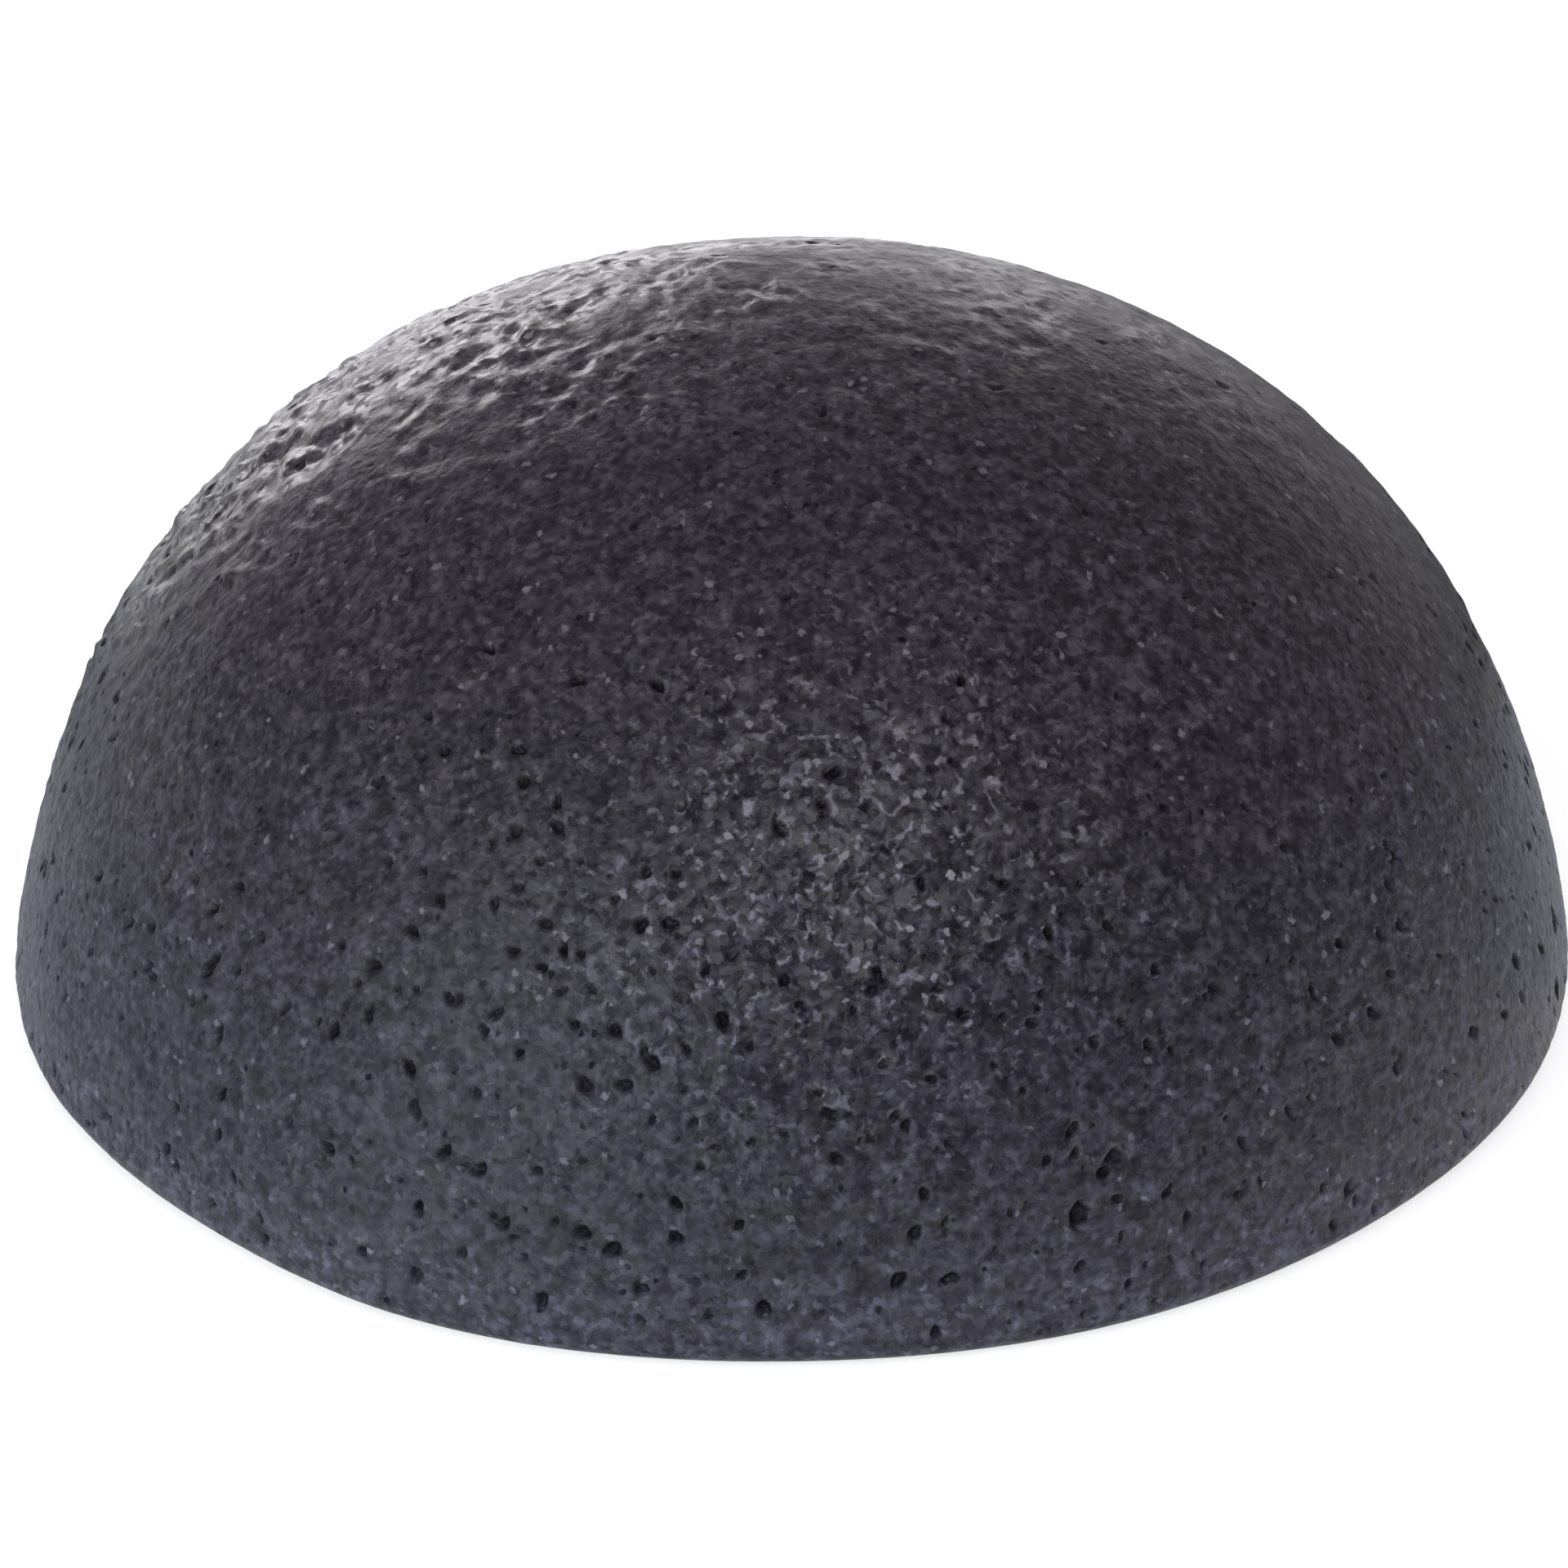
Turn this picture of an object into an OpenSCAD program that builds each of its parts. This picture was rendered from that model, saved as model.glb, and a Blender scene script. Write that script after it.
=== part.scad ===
// Half-ball konjac sponge, all sizes in millimetres.
// It stands on its flat face: Z is up and the origin is the middle of that face.
// The dome is part of a ball, cut off flat a little above the ball's middle, with a rounded rim.
// Three bonded layers make it up: the skin moulded against the dome of the mould, the skin of the
// flat face, and the open foam core that they close in.

/* [Overall form] */
// Width of the sponge across its rim
rim_w = 80; // [60:1:100]
// Height of the dome above the flat face
dome_h = 36.6; // [30:0.2:44]
// Radius of the rounded rim where the dome meets the flat face
rim_r = 1.4; // [0.8:0.1:1.6]

/* [Layers] */
// Thickness of the skin moulded over the dome
dome_skin_t = 2; // [1.8:0.1:4]
// Thickness of the skin on the flat face
base_skin_t = 1.5; // [1:0.1:4]

/* [Pores in the dome] */
// Number of open pores
dome_pores = 150; // [0:10:200]
// Height of the plain band between the flat face and the lowest pore
dome_plain_h = 3; // [2.5:0.5:8]
// How far the pores crowd towards the rim: 1 spreads them evenly
dome_crowding = 1.5; // [1:0.1:2]

/* [Pores in the flat face] */
// Number of open pores
base_pores = 64; // [0:8:96]
// Radius of the plain middle of the face
base_plain_r = 4; // [2:0.5:8]
// Width of the plain border of the face
base_border_w = 2.5; // [2:0.5:6]

/* [Size of the pores] */
// Diameter of the smallest pore
pore_min_d = 0.6; // [0.4:0.1:0.8]
// Diameter of the largest pore
pore_max_d = 1.3; // [0.9:0.1:1.6]
// Furthest that a pore strays from its place in the spiral
pore_stray = 2; // [0:0.2:2.4]

/* [Hidden] */

// The ball, the rim's arc and the flat face follow each other without a corner: the arc's centre
// is rim_r above the face and rim_r inside the ball, which gives the ball's radius.
rim_x = rim_w / 2 - rim_r;
cap_h = dome_h - 2 * rim_r;
ball_r = (rim_x * rim_x + dome_h * cap_h) / (2 * cap_h);
// Depth of the ball's centre below the flat face
ball_drop = ball_r - dome_h;
core_r = ball_r - dome_skin_t;
// Radius of the seam between the two skins, in the flat face
seam_r = sqrt(core_r * core_r - ball_drop * ball_drop);

// Angle on the rim's arc where the ball takes over, and the number of flats along the arc
rim_top_a = atan2(rim_r + ball_drop, rim_x);
rim_steps = 12;

// A pore is a little deeper than half its width, but never reaches through its skin
pore_depth_share = 0.7;
skin_depth_share = 0.75;
// A wide pore is two bubbles run together, this share of its diameter apart
twin_apart_share = 0.55;
// One pore in this many is such a pair
twin_every = 3;
golden_a = 180 * (3 - sqrt(5));
seed = 11;

// Overrun of every cut
over = 1;
ball_facets = 144;
pore_facets = 16;

// Height of dome pore i: even steps of height share out a ball's surface evenly, and the power
// moves the pores down towards the rim
function dome_pore_z(i) =
    dome_plain_h + (dome_h - dome_plain_h) * pow((i + 0.5) / dome_pores, dome_crowding);

// Distance of base pore i from the middle: even steps of the square share out a disc evenly
function base_pore_x(i) =
    let (inner_r = base_plain_r, outer_r = seam_r - base_border_w)
    sqrt(inner_r * inner_r
        + (outer_r * outer_r - inner_r * inner_r) * (i + 0.5) / base_pores);

// Point k along the rim's arc, from the ball down to the flat face
function rim_point(k) =
    let (a = rim_top_a - (90 + rim_top_a) * k / rim_steps)
    [rim_x + rim_r * cos(a), rim_r + rim_r * sin(a)];

// The point past a, one overrun further along the line from b
function past(a, b) = a + (a - b) * over / norm(a - b);

// What the rounded rim takes off, as a ring outside the arc. Both ends of the arc run on past the
// ball and the face, so that the ring cuts them cleanly.
module rim_cut() {
    outer_x = rim_w / 2 + 2 * over;
    top = past(rim_point(0), rim_point(1));
    bottom = past(rim_point(rim_steps), rim_point(rim_steps - 1));
    rotate_extrude($fn = ball_facets)
        polygon(concat(
            [top],
            [for (k = [1 : rim_steps - 1]) rim_point(k)],
            [bottom, [bottom.x, -2 * over], [outer_x, -2 * over], [outer_x, top.y]]));
}

// The ball that a skin or the core is part of
module ball(r) {
    translate([0, 0, -ball_drop])
        sphere(r = r, $fn = ball_facets);
}

// Everything below a level
module below(z) {
    translate([0, 0, z - 2 * ball_r])
        cylinder(r = ball_r + over, h = 2 * ball_r, $fn = ball_facets);
}

// One pore of diameter d opening upwards at the origin, in a skin of thickness skin_t
module pore(d, skin_t, turn, twin) {
    depth = min(d * pore_depth_share, skin_t * skin_depth_share);
    apart = twin ? d * twin_apart_share : 0;
    rotate([0, 0, turn])
        for (x = twin ? [-apart / 2, apart / 2] : [0])
            translate([x, 0, d / 2 - depth])
                sphere(d = d, $fn = pore_facets);
}

// The dome's pores, on a golden-angle spiral with a seeded stray around and down the dome
module dome_pore_field() {
    widths = rands(pore_min_d, pore_max_d, dome_pores + 1, seed);
    strays = rands(-pore_stray, pore_stray, 2 * dome_pores + 1, seed + 1);
    turns = rands(0, 360, dome_pores + 1, seed + 2);
    stray_a = 360 / (2 * PI * ball_r);
    for (i = [0 : 1 : dome_pores - 1]) {
        z = dome_pore_z(i);
        down = acos((z + ball_drop) / ball_r);
        around = i * golden_a + strays[2 * i] * stray_a / sin(down);
        low = acos((dome_plain_h + ball_drop) / ball_r);
        translate([0, 0, -ball_drop])
            rotate([0, min(down + strays[2 * i + 1] * stray_a, low), around])
                translate([0, 0, ball_r])
                    pore(widths[i], dome_skin_t, turns[i], i % twin_every == 0);
    }
}

// The flat face's pores, on the same kind of spiral
module base_pore_field() {
    widths = rands(pore_min_d, pore_max_d, base_pores + 1, seed + 3);
    turns = rands(0, 360, base_pores + 1, seed + 4);
    for (i = [0 : 1 : base_pores - 1])
        rotate([0, 0, i * golden_a])
            translate([base_pore_x(i), 0, 0])
                rotate([180, 0, 0])
                    pore(widths[i], base_skin_t, turns[i], i % twin_every == 0);
}

// Skin of the dome: from the outer ball and the rounded rim in to the core's ball
module dome_skin() {
    color([0.26, 0.25, 0.29])
        difference() {
            ball(ball_r);
            below(0);
            rim_cut();
            ball(core_r);
            dome_pore_field();
        }
}

// Skin of the flat face, which closes the dome's skin from below
module base_skin() {
    color([0.30, 0.29, 0.33])
        difference() {
            intersection() {
                ball(core_r);
                cylinder(r = ball_r, h = base_skin_t, $fn = ball_facets);
            }
            base_pore_field();
        }
}

// Open foam between the two skins
module foam_core() {
    color([0.20, 0.19, 0.22])
        difference() {
            ball(core_r);
            below(base_skin_t);
        }
}

dome_skin();
base_skin();
foam_core();
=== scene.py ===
# %% [markdown]
# # A half-ball konjac sponge
# The real sponge is one casting of konjac root gel, coloured with charcoal powder, foamed, frozen
# and thawed. It lies damp on its flat face. Everything that makes it look real is in its surface: a
# dome that is almost but not quite a ball, a skin that has shrunk into fine folds, a grain like
# wet felt, and open pores. So nearly all the work here is one well-made surface.

# %% Load the CAD frame
import math
from itertools import product
from types import SimpleNamespace

import bpy
import numpy as np
from mathutils import Matrix, Vector


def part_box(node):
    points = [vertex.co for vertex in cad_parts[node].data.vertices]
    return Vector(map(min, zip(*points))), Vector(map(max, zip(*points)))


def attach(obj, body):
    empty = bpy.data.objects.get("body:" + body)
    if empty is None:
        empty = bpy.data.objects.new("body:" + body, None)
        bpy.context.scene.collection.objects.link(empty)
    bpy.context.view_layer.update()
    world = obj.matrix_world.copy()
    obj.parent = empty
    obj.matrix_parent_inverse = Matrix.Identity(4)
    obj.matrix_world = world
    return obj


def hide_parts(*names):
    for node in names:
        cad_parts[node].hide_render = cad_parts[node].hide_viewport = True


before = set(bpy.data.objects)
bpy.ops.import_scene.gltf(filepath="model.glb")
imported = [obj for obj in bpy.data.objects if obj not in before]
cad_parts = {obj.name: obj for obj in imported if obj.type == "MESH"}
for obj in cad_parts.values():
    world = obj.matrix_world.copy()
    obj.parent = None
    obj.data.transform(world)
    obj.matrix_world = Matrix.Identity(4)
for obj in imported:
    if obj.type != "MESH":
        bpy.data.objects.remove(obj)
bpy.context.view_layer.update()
MM = 0.001

# %% [markdown]
# ## Sizes
# The sponge has three bonded layers: the skin of the dome, the skin of the flat face and the foam
# core. All their sizes are read from the frame, so the dressed sponge follows the CAD. Only the
# radius of the rounded rim can't be read from a box, and is written here.

# %% Sizes from the frame
dome_low, dome_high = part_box("dome_skin")
base_low, base_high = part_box("base_skin")
_, core_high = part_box("foam_core")

RIM_R = 1.4 * MM
rim_half = (dome_high.x - dome_low.x) / 2
dome_h = dome_high.z
seam_r = (base_high.x - base_low.x) / 2
base_skin_t = base_high.z

# The rim's arc touches the flat face and the ball without a corner, which gives the ball's radius
rim_x = rim_half - RIM_R
cap_h = dome_h - 2 * RIM_R
ball_r = (rim_x**2 + dome_h * cap_h) / (2 * cap_h)
ball_drop = ball_r - dome_h
core_r = core_high.z + ball_drop
print(f"ball radius {ball_r / MM:.2f} mm, its centre {ball_drop / MM:.2f} mm below the face")

# %% [markdown]
# ## The camera
# The outline in the photograph tells where the camera stood: a cut ball's silhouette is an arc of a
# circle above and half an ellipse below, and how flat the ellipse is gives the camera's height. A
# long lens from 0.8 m keeps the shape free of strong perspective, as in the photograph.

# %% Place the camera
FRAME_PX = 1920
WIDEST_PX = 1899
BASE_MIDDLE_PX = (968, 1161)
CAMERA_ELEVATION = math.radians(31.2)
CAMERA_ROLL = math.radians(-0.3)
CAMERA_DISTANCE = 0.8

px = 2 * rim_half / WIDEST_PX
sight_back = Vector((0, -math.cos(CAMERA_ELEVATION), math.sin(CAMERA_ELEVATION)))
level = sight_back.to_track_quat("Z", "Y").to_matrix()
turned = level @ Matrix.Rotation(CAMERA_ROLL, 3, "Z")
sight_right, sight_up = turned.col[0], turned.col[1]
offset = ((FRAME_PX / 2 - BASE_MIDDLE_PX[0]) * px, (BASE_MIDDLE_PX[1] - FRAME_PX / 2) * px)
aim = sight_right * offset[0] + sight_up * offset[1]

camera_data = bpy.data.cameras.new("camera")
camera_data.sensor_width = 36
camera_data.lens = camera_data.sensor_width * CAMERA_DISTANCE / (FRAME_PX * px)
camera = bpy.data.objects.new("camera", camera_data)
bpy.context.scene.collection.objects.link(camera)
camera.matrix_world = Matrix.Translation(aim + sight_back * CAMERA_DISTANCE) @ turned.to_4x4()
bpy.context.scene.camera = camera
print(f"one photo pixel is {px / MM:.4f} mm, lens {camera_data.lens:.0f} mm")

# %% [markdown]
# ## From a pixel to the dome
# Some things are placed by the photograph, such as the widest pores, but they have to sit on the
# sponge itself, so that they look right from any side. They could be moved there by trial and error.
# A ray from the camera through each pixel finds the place at once, and again after any new size.

# %% Follow rays to the dome
def on_dome(x_px, y_px):
    """The points of the ball that lie behind these pixels of the photograph. The ray p = eye + t d
    meets the ball where t = -b - sqrt(b^2 - c), with b and c from the ball's equation."""
    right = (np.asarray(x_px, float) - FRAME_PX / 2) * px / CAMERA_DISTANCE
    up = (FRAME_PX / 2 - np.asarray(y_px, float)) * px / CAMERA_DISTANCE
    way = np.outer(right, sight_right) + np.outer(up, sight_up) - np.array(sight_back)
    way /= np.linalg.norm(way, axis=1, keepdims=True)
    eye = np.array(camera.matrix_world.translation) + (0, 0, ball_drop)
    b = way @ eye
    t = -b - np.sqrt(np.maximum(b**2 - (eye @ eye - ball_r**2), 0))
    return eye + way * t[:, None] - (0, 0, ball_drop)


photo_middle = on_dome([FRAME_PX / 2], [FRAME_PX / 2])[0]
print("the middle of the photograph shows the dome at", (photo_middle / MM).round(1), "mm")

# %% [markdown]
# ## A grid laid over the dome
# A dome can be gridded like a globe, but then the cells shrink to slivers at the pole. Here a square
# grid is pressed onto a disc instead: each square ring of the grid becomes a round ring, so the
# cells stay much the same size everywhere and there is no pole.

# %% The square grid as a disc
def disc_grid(steps):
    """Two arrays over a square grid: how far out each point is, 0 to 1, and its angle. The share
    is the larger of |x| and |y|; the angle runs evenly along each side of the square."""
    line = np.linspace(-1, 1, steps + 1)
    x, y = np.meshgrid(line, line, indexing="ij")
    share = np.maximum(np.abs(x), np.abs(y))
    sideways = np.abs(x) >= np.abs(y)
    across = np.where(sideways, y, -x)
    ahead = np.where(sideways, x, y)
    slope = np.divide(across, ahead, out=np.zeros_like(x), where=ahead != 0)
    start = np.where(sideways, np.where(x < 0, np.pi, 0), np.where(y < 0, -np.pi / 2, np.pi / 2))
    return share, start + slope * np.pi / 4


def square_place(share, angle):
    """The inverse: the x and y on the square, -1 to 1, of a point of the disc."""
    quarter = np.round(angle / (np.pi / 2)) * np.pi / 2
    along = share * (angle - quarter) * 4 / np.pi
    x = np.cos(quarter) * share - np.sin(quarter) * along
    y = np.sin(quarter) * share + np.cos(quarter) * along
    return x, y


trial_x, _ = square_place(*disc_grid(8))
trial_error = np.abs(trial_x - np.linspace(-1, 1, 9)[:, None]).max()
print(f"there and back, a point of the square moves by {trial_error:.0e}")

# %% [markdown]
# ## The sponge's profile
# Cut through its middle, the sponge shows an arc of the ball, a small arc round the rim and the flat
# face. The disc is carried along this line: over the ball, round the rim and a little way under.
# The CAD mesh could be made finer instead, but its triangles are uneven, and the relief needs cells
# of one size.

# %% The sponge's profile
rim_top = math.atan2(RIM_R + ball_drop, rim_x)
ball_run = ball_r * (math.pi / 2 - rim_top)
rim_run = RIM_R * (rim_top + math.pi / 2)
under_run = rim_x - seam_r
whole_run = ball_run + rim_run + under_run


def profile(run):
    """Radius, height and outward normal at a distance run from the top, measured along the surface.
    On the ball both follow run / ball_r; on the rim the angle falls with run / RIM_R; then flat."""
    polar = np.clip(run, 0, ball_run) / ball_r
    a = rim_top - np.clip(run - ball_run, 0, rim_run) / RIM_R
    under = np.clip(run - ball_run - rim_run, 0, under_run)
    on_ball = run <= ball_run
    r = np.where(on_ball, ball_r * np.sin(polar), rim_x + RIM_R * np.cos(a) - under)
    z = np.where(on_ball, ball_r * np.cos(polar) - ball_drop, RIM_R + RIM_R * np.sin(a))
    nr = np.where(on_ball, np.sin(polar), np.cos(a))
    nz = np.where(on_ball, np.cos(polar), np.sin(a))
    return r, z, nr, nz


print(f"profile: {ball_run / MM:.1f} mm of ball, {rim_run / MM:.1f} of rim, {under_run / MM:.1f} under")

# %% [markdown]
# ## Noise
# Nature's roughness has no formula, but it can be layered from smooth random bumps of several
# sizes. Gradient noise gives such bumps. Folding it at zero makes sharp crests, like a skin that
# has shrunk, and stretching space first makes the crests run one way. Blender has such noise too,
# but called point by point it would be slow: here a whole array of points is worked out at once.

# %% Smooth and folded noise
# Gradient noise is weak by itself, and this brings it to about -1 to 1
NOISE_GAIN = 1.6


def smooth_noise(points, wavelength, seed):
    """Bumps of about -1 to 1, a wavelength apart. Each corner of a cube lattice has a random slope,
    and a point blends the eight round it, weighed by 6t^5 - 15t^4 + 10t^3 along each edge."""
    rng = np.random.default_rng(seed)
    shuffled = rng.permutation(256)
    slopes = rng.normal(size=(256, 3))
    slopes /= np.linalg.norm(slopes, axis=1, keepdims=True)
    place = points / wavelength + rng.uniform(0, 99, 3)
    cell = np.floor(place).astype(np.int32)
    inside = (place - cell).astype(np.float32)
    blend = inside**3 * (inside * (inside * 6 - 15) + 10)
    total = np.zeros(len(points), np.float32)
    # The one loop runs over the eight corners of a cube, not over the points
    for corner in product((0, 1), repeat=3):
        x, y, z = ((cell + corner) % 256).T
        slope = slopes[shuffled[(shuffled[(shuffled[x] + y) % 256] + z) % 256]]
        weight = np.prod(np.where(corner, blend, 1 - blend), axis=1)
        total += weight * ((inside - corner) * slope).sum(axis=1)
    return NOISE_GAIN * total


def folded_noise(points, wavelength, seed):
    """Crests at 1 that fall away on both sides: 1 - 2 |noise|."""
    return 1 - 2 * np.abs(smooth_noise(points, wavelength, seed))


trial_noise = smooth_noise(np.random.default_rng(1).uniform(0, 1, (2000, 3)), 0.1, 1)
print(f"noise at 2000 points: {trial_noise.min():.2f} to {trial_noise.max():.2f}")

# %% [markdown]
# Three more helpers steer the noise. The first stretches it along an axis. The other two say where it
# is felt: in a round spot, or past a soft border.

# %% Stretches, spots and ramps
def stretched(points, axis, ratio):
    """The points with space pressed together along an axis, so that noise comes out ratio times
    longer that way: p - a (p . a)(1 - 1 / ratio)."""
    axis = np.array(axis) / np.linalg.norm(axis)
    return points - np.outer(points @ axis, axis) * (1 - 1 / ratio)


def spot(points, middle, radius):
    """1 at a middle, falling to 0.37 at a radius from it: exp(-(distance / radius)^2)."""
    return np.exp(-((points - middle) ** 2).sum(axis=1) / radius**2)


def ramp(value, low, high):
    """0 below low, 1 above high, and smooth between: 3t^2 - 2t^3."""
    t = np.clip((value - low) / (high - low), 0, 1)
    return t * t * (3 - 2 * t)


print("a ramp from 0 to 1 at quarter steps:", ramp(np.linspace(0, 1, 5), 0, 1).round(2))

# %% [markdown]
# ## The form
# A moulded ball of gel doesn't come out perfectly round: it swells and sags a little as it thaws.
# The outline in the photograph strays up to one percent from the cut ball. It could be sculpted, or
# bent with a lattice. A few broad swells and dents, each with a direction, a width and a height,
# are easier to read and to change. They stretch the points away from the middle of the flat face,
# so that the face itself stays flat.

# %% Swells and dents
# Azimuth from +X and elevation in degrees, spread in degrees, height in mm
SWELLS = [
    (92, 58, 14, -0.40),
    (26, 34, 14, 0.50),
    (153, 33, 16, 0.32),
    (-23, 0, 12, 0.45),
    (-160, 0, 12, 0.45),
    (-119, 0, 10, 0.50),
    (-86, 0, 10, -0.27),
    (179, 7, 12, -0.32),
    (2, 4, 10, -0.12),
]


def swollen(points):
    """The points stretched from the origin by 1 + sum of h exp((cos(angle) - 1) / spread^2) / R."""
    way = points / np.maximum(np.linalg.norm(points, axis=1, keepdims=True), 1e-9)
    stretch = np.ones(len(points))
    for azimuth, elevation, spread, height in SWELLS:
        a, e = math.radians(azimuth), math.radians(elevation)
        middle = np.array([math.cos(a) * math.cos(e), math.sin(a) * math.cos(e), math.sin(e)])
        near = np.exp((way @ middle - 1) / math.radians(spread) ** 2)
        stretch += near * height * MM / rim_half
    return points * stretch[:, None]


print(f"{len(SWELLS)} swells and dents, of up to {max(abs(row[3]) for row in SWELLS):.2f} mm")

# %% [markdown]
# ## Pores
# Bubbles that reached the mould burst and left open pores, from pinpricks to more than a
# millimetre. They are thick on the lower half and rare near the top. The small ones are too many to
# place by hand, and nobody would miss a single one, so a seeded random draw scatters them.

# %% Scatter pores over the dome
PORES = 1050
PORE_SMALL, PORE_LARGE = 0.11 * MM, 0.34 * MM
# Most pores are small: a draw from 0 to 1 is raised to this power
PORE_SIZE_POWER = 2.5
# Pores are thick up to the first height, and above the second only this share of them stays
PORE_THICK_Z, PORE_TOP_Z = 0.15 * dome_h, 31 * MM
PORE_TOP_SHARE = 0.05


def scattered_pores(count, seed):
    """Points and radii of random pores. Even steps of height share out a ball evenly; each pore
    stays with a chance that grows towards the rim. Radii follow a power law: mostly small."""
    rng = np.random.default_rng(seed)
    tries = 3 * count
    z = rng.uniform(RIM_R, dome_h, tries)
    chance = PORE_TOP_SHARE + (1 - PORE_TOP_SHARE) * (1 - ramp(z, PORE_THICK_Z, PORE_TOP_Z))
    kept = rng.uniform(0, 1, tries) < chance
    z = z[kept][:count]
    angle = rng.uniform(-np.pi, np.pi, len(z))
    r = np.sqrt(ball_r**2 - (z + ball_drop) ** 2)
    points = np.stack([r * np.cos(angle), r * np.sin(angle), z], axis=1)
    radii = PORE_SMALL + (PORE_LARGE - PORE_SMALL) * rng.uniform(0, 1, len(z)) ** PORE_SIZE_POWER
    return points, radii


pore_points, pore_radii = scattered_pores(PORES, 5)
print(f"{len(pore_points)} small pores, {(pore_radii > 0.2 * MM).sum()} of them over 0.4 mm wide")

# %% [markdown]
# The widest pores give the sponge its face, so those on the side that the photograph shows are set
# one by one, where the photograph has them. Each is read off as a place and a width in photo
# pixels, and the ray from the camera finds its place on the dome. The other sides get wide pores at
# random.

# %% Wide pores where the photograph has them
# Across, down and width of each, in photo pixels
SEEN_PORES = (
    (290, 1086, 16), (262, 1112, 18), (258, 1180, 26), (369, 1089, 9), (418, 1157, 14),
    (458, 1182, 17), (453, 1240, 17), (410, 1261, 17), (518, 1066, 14), (632, 1018, 18),
    (683, 1012, 18), (505, 1140, 16), (538, 1101, 14), (605, 1105, 15), (635, 1087, 15),
    (668, 1131, 16), (663, 1185, 16), (686, 1213, 14), (592, 1261, 15), (703, 1254, 12),
    (753, 1261, 15), (792, 1068, 16), (785, 1133, 18), (820, 1130, 17), (837, 1222, 17),
    (797, 1300, 19), (765, 1328, 16), (716, 1328, 20), (584, 1338, 13), (502, 1308, 17),
    (512, 1362, 12), (546, 1409, 16), (587, 1432, 18), (355, 1371, 14), (267, 1389, 17),
    (516, 1477, 18), (618, 1497, 17), (713, 1508, 20), (749, 1530, 21), (827, 1475, 18),
    (827, 1517, 20), (659, 1432, 12), (570, 1530, 14), (515, 1557, 17), (665, 1590, 18),
    (785, 1579, 17), (348, 1233, 16), (896, 1170, 15), (960, 1200, 18), (1076, 1192, 16),
    (1068, 1212, 16), (979, 1232, 17), (886, 1250, 20), (1180, 1242, 18), (1265, 1252, 16),
    (1341, 1275, 17), (1376, 1252, 16), (1409, 1280, 16), (1285, 1142, 18), (1416, 1187, 16),
    (1488, 1209, 16), (1083, 1303, 15), (1141, 1322, 15), (1015, 1364, 18), (1109, 1379, 15),
    (1315, 1383, 17), (875, 1406, 15), (849, 1375, 14), (1024, 1419, 17), (1364, 1418, 24),
    (1353, 1436, 19), (1322, 1488, 28), (1430, 1460, 17), (1132, 1464, 18), (1370, 1469, 15),
    (1122, 1512, 20), (908, 1564, 15), (1101, 1571, 20), (1165, 1569, 19), (935, 1606, 18),
    (1148, 1636, 16), (1325, 1551, 15), (705, 832, 19), (805, 838, 18), (635, 918, 16),
    (462, 960, 14), (1022, 945, 20), (957, 1015, 20), (1528, 987, 16), (1178, 832, 14),
    (1159, 881, 14), (1006, 984, 15), (1084, 1037, 12), (828, 1069, 14), (753, 1100, 12),
    (1231, 1081, 14), (1050, 1084, 12), (1128, 1082, 14), (1150, 1209, 12), (919, 1281, 12),
    (608, 1289, 10), (798, 1372, 12), (696, 1455, 10), (783, 1617, 14), (852, 1569, 12),
    (512, 795, 12), (599, 794, 16), (472, 876, 14), (523, 876, 16), (599, 870, 12),
    (517, 927, 11), (570, 937, 12), (596, 930, 10), (661, 813, 12), (568, 981, 12),
    (560, 1001, 14), (682, 982, 16), (600, 1031, 12), (477, 1054, 11), (661, 1054, 12),
    (711, 1054, 12), (756, 894, 9),
)
HIDDEN_WIDE_PORES = 130
# A point is out of sight when it lies less than this share of the ball's radius towards the camera
HIDDEN_SHARE = 0.25

seen = np.array(SEEN_PORES, float)
wide_points = on_dome(seen[:, 0], seen[:, 1])
wide_radii = seen[:, 2] * px / 2
hidden, _ = scattered_pores(4 * HIDDEN_WIDE_PORES, 6)
hidden = hidden[hidden @ np.array(sight_back) < HIDDEN_SHARE * ball_r][:HIDDEN_WIDE_PORES]
drawn = np.random.default_rng(6).choice(wide_radii, len(hidden))
wide_points, wide_radii = np.concatenate([wide_points, hidden]), np.concatenate([wide_radii, drawn])
print(f"{len(seen)} wide pores in sight, {len(hidden)} out of sight")

# %% [markdown]
# ## Pits
# A pore could be cut out with a boolean, but a thousand cuts would be slow and leave ragged edges.
# Here the grid points near a pore move inwards by a formula, so the mesh stays one clean grid. Each
# pit is a small oval with a wavering edge. All of them are worked out at once, in a window of grid
# points round each, so no loop runs over points.

# %% Press pits into a grid
# Half the length and width of a pit, and its depth, over the radius of its pore
PIT_LONG, PIT_SHORT, PIT_DEEP = (1.0, 1.45), (0.75, 1.0), (0.9, 1.5)
# How steep the wall is: at a low power the floor is flat and the wall upright
PIT_WALL_POWER = 0.6
# A window reaches this many radii out, and a point further off than the limit belongs elsewhere
PIT_REACH, PIT_LIMIT = 1.9, 2.2


def windows(places, side, reach):
    """For each pit the row and column of its middle, and those of a square of points round it. A
    place from -1 to 1 becomes a number from 0 to side - 1, and numbers past the border stop there."""
    row, column = np.round((np.stack(places) + 1) / 2 * (side - 1)).astype(int)
    steps = np.arange(-reach, reach + 1)
    rows = np.clip(row[:, None, None] + steps[None, :, None], 0, side - 1)
    columns = np.clip(column[:, None, None] + steps[None, None, :], 0, side - 1)
    return row, column, *np.broadcast_arrays(rows, columns)


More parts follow.
